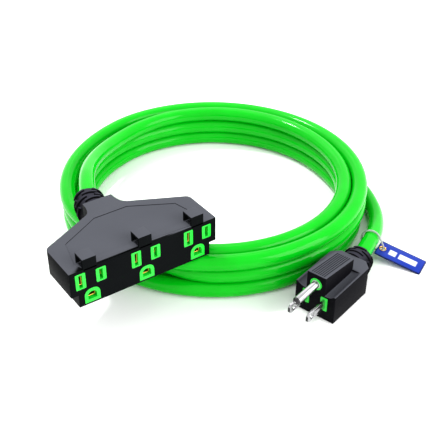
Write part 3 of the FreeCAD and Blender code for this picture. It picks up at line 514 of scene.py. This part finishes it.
# ---- Strain reliefs ---------------------------------------------------------------------------
# Ribbed sleeves of softer black PVC, moulded over the cord's ends. Each leans the way the cord pulls, and
# its ribs are cut by short slots, staggered from one rib to the next, so that it bends without a crease.
def sleeve(name, hand, length, bend, wide, narrow, ribs, collar, slot_deep):
    """A tapering sleeve whose ring is spun along its bend, station by station, then slotted."""
    bend = math.radians(bend)
    bend_radius = length / bend
    centre = Vector((hand * bend_radius, 0, 0)) * MM
    bpy.ops.object.select_all(action="DESELECT")
    bpy.ops.mesh.primitive_circle_add(vertices=48, radius=wide / 2 * MM, fill_type="NGON",
                                      rotation=(math.pi / 2, 0, 0))
    piece = bpy.context.object
    piece.name = piece.data.name = name
    bpy.ops.object.transform_apply(rotation=True)
    groove_deep, lip, taper = 0.35, 1.2, 2.2
    stations = [(0.0, wide / 2)]
    pitch = (1 - collar) / ribs
    for i in range(ribs):
        for share, slim in ((0.06, groove_deep), (0.5, 0), (0.56, groove_deep), (1.0, groove_deep)):
            at = collar + (i + share) * pitch
            radius = wide / 2 - (wide - narrow) / 2 * at ** taper - slim
            stations.append((at, radius))
    stations[-1] = (1.0, narrow / 2 - lip)
    stations.insert(1, (collar, wide / 2 - groove_deep))
    edit()
    bpy.ops.mesh.select_all(action="SELECT")
    before, size = 0.0, wide / 2
    for at, radius in stations[1:]:
        bpy.ops.mesh.extrude_region_move(TRANSFORM_OT_translate={"value": (0, 0, 0)})
        bpy.ops.transform.rotate(value=hand * (at - before) * bend, orient_axis="Z", center_override=centre)
        middle = centre + Vector((-hand * math.cos(at * bend), math.sin(at * bend), 0)) * bend_radius * MM
        spread((radius / size,) * 3, middle / MM)
        before, size = at, radius

    # the slots: short pieces of each groove, pushed in, staggered from one groove to the next
    slot_half_angle = 32
    for i in range(ribs):
        at = (collar + (i + 0.78) * pitch) * bend
        groove = centre / MM + Vector((-hand * math.cos(at), math.sin(at), 0)) * bend_radius
        along = Vector((hand * math.sin(at), math.cos(at), 0))
        across = Vector((math.cos(at), -hand * math.sin(at), 0))

        def in_slot(place, facing):
            away = place - groove
            if abs(away.dot(along)) > 0.3 * pitch * length or abs(facing.dot(along)) > 0.5:
                return False
            around = math.degrees(math.atan2(away.z, away.dot(across))) % 90
            away_from_slot = abs(around - 45) if i % 2 else min(around, 90 - around)
            return away_from_slot < slot_half_angle

        choose("FACE", in_slot)
        bpy.ops.mesh.extrude_region_shrink_fatten(TRANSFORM_OT_shrink_fatten={"value": -slot_deep * MM})
    choose("FACE", lambda place, facing: True)
    bpy.ops.mesh.normals_make_consistent(inside=False)
    edit(False)
    ease_edges(piece, 0.18, 2)
    return piece


# the second colour is the painted sheen on the sleeves' up-facing faces
soft_black = black_moulding("soft_black", (0.004, 0.004, 0.005), (0.03, 0.03, 0.04))
tap_sleeve = sleeve("tap_sleeve", hand=1, length=22.4, bend=24.0, wide=19.6, narrow=16.4, ribs=5,
                    collar=0.16, slot_deep=1.5)
set_down(tap_sleeve, tap_at + Vector((0, 57.6, 12.5)) * MM)
give_finish(tap_sleeve, soft_black)
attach(tap_sleeve, "root")
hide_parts("tap_strain_relief")

plug_at, plug_turn = Vector((2.5, -113.7, 0)) * MM, math.radians(-74.5)


def plug_place(x, y, z):
    """A point of the plug, given from the middle of its face on the floor, in the whole's own frame."""
    return plug_at + Vector((x * math.cos(plug_turn) - y * math.sin(plug_turn),
                             x * math.sin(plug_turn) + y * math.cos(plug_turn), z)) * MM


plug_sleeve = sleeve("plug_sleeve", hand=-1, length=12.5, bend=13.0, wide=18.8, narrow=14.8, ribs=4,
                     collar=0.1, slot_deep=1.3)
set_down(plug_sleeve, plug_place(0, 42.4, 11.6), plug_turn)
give_finish(plug_sleeve, soft_black)
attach(plug_sleeve, "root")
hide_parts("plug_strain_relief")

# ---- Plug housing -----------------------------------------------------------------------------
# A black PVC moulding for three pins: a block with chamfered rear corners, a scoop for the finger on each
# shoulder, and a tapering ridge over the ground pin whose top is ribbed lengthwise for grip.
plug_half, plug_long, plug_side, plug_chamfer = 13.9, 42.4, 19.7, 5.0
ridge_half, ridge_long, ridge_front, ridge_rear = 6.5, 31.0, 30.4, 26.8
scoop_end, scoop_middle, scoop_radius, scoop_deep = 30.0, 7.5, 7.4, 2.2
grip_pitch, grip_ribs, grip_groove, grip_deep = 1.4, 8, 0.62, 0.5
plug = add_block("plug_shell", (-plug_half, 0, 0), (plug_half, plug_long, plug_side))
edit()
choose("EDGE", lambda at, along: abs(along.z) > 0.9 and at.y > plug_long - near)
bpy.ops.mesh.bevel(offset=plug_chamfer * MM, segments=1)


def slice_at(x=None, y=None):
    """Cut the whole piece through by an upright plane, and keep both sides."""
    bpy.ops.mesh.select_all(action="SELECT")
    if y is None:
        bpy.ops.mesh.bisect(plane_co=(x * MM, 0, 0), plane_no=(1, 0, 0))
    else:
        bpy.ops.mesh.bisect(plane_co=(0, y * MM, 0), plane_no=(0, 1, 0))


scoop_lines = [6.5, 7.5, 8.5, 9.5, 10.4, 11.2, 11.9, 12.45, 12.77]
for across in scoop_lines:
    slice_at(x=across)
    slice_at(x=-across)
grooves = [((i + 0.5) - grip_ribs / 2) * grip_pitch + grip_pitch / 2 for i in range(grip_ribs - 1)]
for middle in grooves:
    slice_at(x=middle - grip_groove / 2)
    slice_at(x=middle + grip_groove / 2)
front_cut, rear_cut = 1.2, ridge_long - 0.9
sink_shares = {scoop_end: 0.0, scoop_end - 0.3: 0.45, scoop_end - 1.2: 0.8, scoop_end - 2.5: 1.0}
for back in (front_cut, *sorted(sink_shares), rear_cut, ridge_long):
    slice_at(y=back)
choose("FACE", lambda at, facing: facing.z > 0.5 and abs(at.x) < ridge_half and at.y < ridge_long)
pull(0, 0, ridge_rear - plug_side)
for back in (0.0, front_cut, *sorted(sink_shares), rear_cut):
    choose("VERT", lambda at: abs(at.y - back) < 0.05 and at.z > plug_side + 2)
    move(0, 0, (ridge_front - ridge_rear) * (1 - back / ridge_long))
for across in scoop_lines[:-1]:
    deep = scoop_radius - scoop_deep
    sink = math.sqrt(scoop_radius ** 2 - (across - scoop_middle) ** 2) - deep
    for end, share in sink_shares.items():
        choose("VERT", lambda at: abs(abs(at.x) - across) < 0.05 and abs(at.z - plug_side) < 0.05
               and (abs(at.y - end) < 0.05 or share == 1.0 and at.y < end))
        move(0, 0, -sink * share)
choose("FACE", lambda at, facing: facing.z > 0.9 and at.z > plug_side + 2 and front_cut < at.y < rear_cut
       and any(abs(at.x - middle) < 0.1 for middle in grooves))
pull(0, 0, -grip_deep)
edit(False)
ease_edges(plug, 0.22, 2)
# the windows in the face for the green frames, and the core's recess behind them
blade_height, pin_height, pin_radius, blade_half = 11.6, 23.5, 2.375, 0.76
plug_wall, core_back = 2.2, 15.2
core_recess = stepped_block("core_recess", 4.7 + fit, 10.2 + fit, 3.1, 16.5, 27.6, plug_wall,
                            core_back + fit)
weld(plug, core_recess, "DIFFERENCE")
plug_frame = (2.36, 4.775)


def rod(name, radius, middle, front, back, sides=48):
    """A round bar that runs back from the plug's face."""
    bpy.ops.object.select_all(action="DESELECT")
    bpy.ops.mesh.primitive_cylinder_add(vertices=sides, radius=radius * MM, depth=(back - front) * MM,
                                        rotation=(math.pi / 2, 0, 0),
                                        location=Vector((middle[0], (front + back) / 2, middle[1])) * MM)
    piece = bpy.context.object
    piece.name = piece.data.name = name
    bpy.ops.object.transform_apply(location=True, rotation=True, scale=True)
    return piece


windows = [rod("pin_window", 3.975 + fit, (0, pin_height), -1, plug_wall + 0.5)]
for side in (-1, 1):
    x, wide, tall = side * pole_aside, plug_frame[0] + fit, plug_frame[1] + fit
    windows.append(add_block("blade_window", (x - wide, -1, blade_height - tall),
                             (x + wide, plug_wall + 0.5, blade_height + tall)))
weld(plug, united(windows), "DIFFERENCE")
set_down(plug, plug_at, plug_turn)
# the second colour is the painted sheen on the plug's up-facing faces
plug_plastic = black_moulding("plug_moulding", (0.0035, 0.0035, 0.0045), (0.062, 0.065, 0.077))
give_finish(plug, plug_plastic)
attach(plug, "root")
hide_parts("plug_housing")

# ---- Plug core --------------------------------------------------------------------------------
# The green nylon block that holds the blades and the pin. A rounded frame round each blade and a ring
# round the pin stand through the black face, a little proud of it.
proud = 0.3
core = stepped_block("plug_core_green", 4.7, 10.2, 3.2, 16.4, 27.5, plug_wall + fit, core_back)
frames = [rod("pin_ring", 3.975, (0, pin_height), -proud, plug_wall + 0.6)]
for side in (-1, 1):
    x = side * pole_aside
    block = add_block("blade_frame", (x - plug_frame[0], -proud, blade_height - plug_frame[1]),
                      (x + plug_frame[0], plug_wall + 0.6, blade_height + plug_frame[1]))
    edit()
    choose("EDGE", lambda at, along: abs(along.y) > 0.9)
    bpy.ops.mesh.bevel(offset=0.7 * MM, segments=4)
    edit(False)
    frames.append(block)
frames = united(frames)
ease_edges(frames, 0.2)
weld(core, frames, "UNION")
holes = [rod("pin_hole", pin_radius + 0.45, (0, pin_height), -1, core_back + 1)]
for side in (-1, 1):
    x = side * pole_aside
    holes.append(add_block("blade_slot", (x - blade_half - 0.05, -1, blade_height - 3.2),
                           (x + blade_half + 0.05, core_back + 1, blade_height + 3.2)))
weld(core, united(holes), "DIFFERENCE")
set_down(core, plug_at, plug_turn)
give_finish(core, green_nylon)
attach(core, "root")
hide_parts("plug_core")

# ---- Blades and ground pin --------------------------------------------------------------------
# Two flat blades and a round pin of nickelled brass. The blades are stamped, with chamfered tips and a
# hole near the tip; the pin is turned, with a domed tip and a collar held in the green core. The blades'
# ends and the pin's dome are painted dark, a painted reflection of dark surroundings on the same nickel.
nickel = metal("nickel", (0.52, 0.52, 0.53), (0.33, 0.33, 0.34), 0.2, streak=(0.15, 0.15, 1), depth=0.006)
# painted reflection: near black for the dark surroundings that the tips mirror, not a finish of their own
painted_reflection = metal("painted_reflection_tip", (0.05, 0.05, 0.052), (0.02, 0.02, 0.021), 0.35)
blade_long, blade_wide, blade_tip, blade_hole = 17.8, 3.175, 1.6, 2.0
tail_back, tail_half = core_back + 3.0, 1.3
for pole, side in (("neutral", -1), ("hot", 1)):
    x = side * pole_aside
    blade = add_block(f"blade_{pole}_nickel", (x - blade_half, -blade_long, blade_height - blade_wide),
                      (x + blade_half, core_back, blade_height + blade_wide))
    edit()
    choose("EDGE", lambda at, along: abs(along.x) > 0.9 and at.y < -blade_long + near)
    bpy.ops.mesh.bevel(offset=blade_tip * MM, segments=1)
    choose("FACE", lambda at, facing: facing.y > 0.9 and at.y > 0)
    pull(0, 0, 0)
    spread((1, 1, tail_half / blade_wide), (x, core_back, blade_height))
    pull(0, tail_back - core_back, 0)
    edit(False)
    bpy.ops.object.select_all(action="DESELECT")
    bpy.ops.mesh.primitive_cylinder_add(vertices=32, radius=blade_hole * MM, depth=4 * MM,
                                        rotation=(0, math.pi / 2, 0),
                                        location=Vector((x, 4.9 - blade_long, blade_height)) * MM)
    weld(blade, bpy.context.object, "DIFFERENCE")
    ease_edges(blade, 0.22)
    give_finish(blade, nickel, painted_reflection)
    # the faces near the tip get the painted dark reflection
    for face in blade.data.polygons:
        face.material_index = int(face.center.y < (0.75 - blade_long) * MM)
    set_down(blade, plug_at, plug_turn)
    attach(blade, "root")
    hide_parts(f"blade_{pole}")

pin_long, pin_collar, pin_dome = 21.6, 2.8, 1.9
pin = rod("ground_pin_nickel", pin_radius, (0, pin_height), -pin_long, -proud)
edit()
choose("FACE", lambda at, facing: facing.y < -0.9)
bpy.ops.mesh.bevel(offset=pin_dome * MM, segments=8, affect="EDGES")
choose("FACE", lambda at, facing: facing.y > 0.9)
before = pin_radius
for radius, back in ((pin_collar, core_back + proud), (tail_half, 3.0)):
    pull(0, 0, 0)
    spread((radius / before, 1, radius / before), (0, 0, pin_height))
    pull(0, back, 0)
    before = radius
edit(False)
ease_edges(pin, 0.15)
give_finish(pin, nickel, painted_reflection)
# the dome, all but its very middle, gets the painted dark reflection
for face in pin.data.polygons:
    reach = math.hypot(face.center.x, face.center.z - pin_height * MM)
    face.material_index = int(face.center.y < (pin_dome - pin_long) * MM and reach > 0.6 * MM)
set_down(pin, plug_at, plug_turn)
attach(pin, "root")
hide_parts("ground_pin")

# ---- Hang tag ---------------------------------------------------------------------------------
# A card-thin tag of printed blue plastic with rounded corners and a darker cut edge. Its print is left as
# two plain white bars. A brass eyelet is rolled into its near end, and a clear strand goes round the cord.
tag_long, tag_wide, tag_thick, tag_hole_from_end = 32.0, 15.4, 0.8, 3.4
tag_at = Vector((77.6, -94.9, 5.6)) * MM
tag_turn, tag_slope = math.radians(-64.0), math.radians(10.3)
plate = add_block("tag_plate_blue", (-tag_hole_from_end, -tag_wide / 2, -tag_thick / 2),
                  (tag_long - tag_hole_from_end, tag_wide / 2, tag_thick / 2))
edit()
choose("EDGE", lambda at, along: abs(along.z) > 0.9)
bpy.ops.mesh.bevel(offset=1.0 * MM, segments=4)
edit(False)
bpy.ops.object.select_all(action="DESELECT")
bpy.ops.mesh.primitive_cylinder_add(vertices=40, radius=2.2 * MM, depth=3 * MM)
weld(plate, bpy.context.object, "DIFFERENCE")
ease_edges(plate, 0.15)
print_map = plate.data.uv_layers.active
for loop in plate.data.loops:
    at = plate.data.vertices[loop.vertex_index].co / MM
    print_map.data[loop.index].uv = ((at.x + tag_hole_from_end) / tag_long, at.y / tag_wide + 0.5)

eyelet_hole, eyelet_lip = 1.9, 0.3
bpy.ops.object.select_all(action="DESELECT")
bpy.ops.mesh.primitive_cylinder_add(vertices=40, radius=(eyelet_hole + 0.02) * MM, end_fill_type="NOTHING",
                                    depth=(tag_thick + eyelet_lip) * MM)
eyelet = bpy.context.object
eyelet.name = eyelet.data.name = "tag_eyelet_brass"
edit()
for side in (-1, 1):
    for grow, rise in ((1.06, 0.12), (1.08, 0.08), (1.06, -0.05)):
        bpy.ops.mesh.select_mode(type="EDGE")
        bpy.ops.mesh.select_non_manifold(extend=False)
        choose("EDGE", lambda at, along: side * at.z > 0, among=True)
        pull(0, 0, side * rise)
        spread((grow, grow, 1), (0, 0, 0))
edit(False)
finish_with(eyelet, "SOLIDIFY", thickness=0.22 * MM, offset=1)
for piece in (plate, eyelet):
    set_down(piece, tag_at, tag_turn, tag_slope)


def printed(name, ground, edge, ink):
    """Blue print that darkens at the cut edge, with two white bars laid by the piece's own map."""
    made = moulded(name, deep=[0.85 * part for part in ground], pale=ground, roughness=0.32, shine=0.1,
                   mottle_size=5, grain_size=0.4, grain_depth=0.01)
    nodes, links = made.node_tree.nodes, made.node_tree.links
    shader = nodes["Principled BSDF"]
    place = nodes.new("ShaderNodeUVMap").outputs["UV"]
    split = nodes.new("ShaderNodeSeparateXYZ")
    links.new(place, split.inputs["Vector"])

    def within(across, up, half_long, half_wide, soft):
        """1 inside a rectangle of the map and 0 outside it."""
        sides = []
        for axis, middle, half in (("X", across, half_long), ("Y", up, half_wide)):
            away = nodes.new("ShaderNodeMath")
            away.operation = "SUBTRACT"
            away.inputs[1].default_value = middle
            links.new(split.outputs[axis], away.inputs[0])
            size = nodes.new("ShaderNodeMath")
            size.operation = "ABSOLUTE"
            links.new(away.outputs[0], size.inputs[0])
            share = nodes.new("ShaderNodeMapRange")
            share.inputs["From Min"].default_value = half + soft
            share.inputs["From Max"].default_value = half - soft
            links.new(size.outputs[0], share.inputs["Value"])
            sides.append(share.outputs["Result"])
        both = nodes.new("ShaderNodeMath")
        both.operation = "MULTIPLY"
        for source, socket in zip(sides, both.inputs):
            links.new(source, socket)
        return both.outputs[0]

    before = shader.inputs["Base Color"].links[0].from_socket
    for inside, colour, flip in ((within(0.5, 0.5, 0.478, 0.455, 0.012), edge, True),
                                 (within(0.33, 0.5, 0.075, 0.17, 0.012), ink, False),
                                 (within(0.66, 0.5, 0.19, 0.17, 0.012), ink, False)):
        mix = nodes.new("ShaderNodeMix")
        mix.data_type = "RGBA"
        links.new(inside, mix.inputs["Factor"])
        links.new(before, mix.inputs["B" if flip else "A"])
        mix.inputs["A" if flip else "B"].default_value = (*colour, 1)
        before = mix.outputs["Result"]
    links.new(before, shader.inputs["Base Color"])
    return made


give_finish(plate, printed("tag_print", ground=(0.008, 0.03, 0.30), edge=(0.002, 0.007, 0.07),
                          ink=(0.62, 0.64, 0.68)))
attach(plate, "tag")
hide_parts("tag_plate")
give_finish(eyelet, contact_brass)
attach(eyelet, "tag")
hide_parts("tag_eyelet")

# ---- Wiring and strand ------------------------------------------------------------------------
# Inside the housings: three insulated wires in black, white and green, crimped brass barrels, brass strips
# and a nylon cover, all as they come from the frame. The tag's strand is clear drawn nylon.
wire_finish = dict(roughness=0.4, shine=0.4, mottle_size=5, grain_size=0.4, grain_depth=0.01)
insulation = {
    "neutral": moulded("wire_white", (0.62, 0.61, 0.58), (0.75, 0.74, 0.70), **wire_finish),
    "hot": moulded("wire_black", (0.008, 0.008, 0.009), (0.014, 0.014, 0.016), **wire_finish),
    "ground": moulded("wire_green", (0.004, 0.16, 0.03), (0.008, 0.24, 0.05), **wire_finish)}
clear_strand = moulded("clear_strand", deep=(0.38, 0.39, 0.40), pale=(0.50, 0.51, 0.52), roughness=0.18,
                       shine=0.5, mottle_size=3, grain_size=0.4, grain_depth=0.01)
clear_strand.node_tree.nodes["Principled BSDF"].inputs["Transmission Weight"].default_value = 0.35
inner_finishes = {"cord_in_tap": jacket, "cord_in_plug": jacket, "core_cover": green_nylon,
                  "tag_loop": clear_strand}
for pole, wire in insulation.items():
    inner_finishes[f"contact_strip_{pole}"] = contact_brass
    for end in ("tap", "plug"):
        inner_finishes[f"{end}_wire_{pole}"] = wire
        inner_finishes[f"{end}_crimp_{pole}"] = contact_brass
for name, finish in inner_finishes.items():
    give_finish(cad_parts[name], finish)

# ---- Floor and light --------------------------------------------------------------------------
# A wide white floor, an even white surround, and three square lamps. The softbox stands behind and above
# for the tops, the fill in front on the right for the coil's near side, and the small strip draws a line of
# light along the strands.
bpy.ops.mesh.primitive_plane_add(size=6, location=(0, 0, 0))
floor = bpy.context.object
floor.name = "floor"
paper = bpy.data.materials.new("floor_paper")
paper.use_nodes = True
paper_shader = paper.node_tree.nodes["Principled BSDF"]
paper_shader.inputs["Base Color"].default_value = (0.93, 0.93, 0.93, 1)
paper_shader.inputs["Roughness"].default_value = 0.9
floor.data.materials.append(paper)
world = bpy.data.worlds.new("studio")
world.use_nodes = True
world.node_tree.nodes["Background"].inputs["Color"].default_value = (1, 1, 1, 1)
world.node_tree.nodes["Background"].inputs["Strength"].default_value = 1.3
bpy.context.scene.world = world
for name, place, width, power in (("softbox", (0.1, 0.8, 1.2), 1.2, 5),
                                  ("fill", (0.55, -1.1, 0.6), 1.0, 16),
                                  ("strip", (-0.1, 0.6, 1.0), 0.12, 7)):
    bpy.ops.object.light_add(type="AREA", location=place)
    lamp = bpy.context.object
    lamp.name = name
    lamp.data.size = width
    lamp.data.energy = power
    lamp.rotation_euler = (-lamp.location).to_track_quat("-Z", "Y").to_euler()
bpy.context.scene.view_settings.view_transform = "Standard"
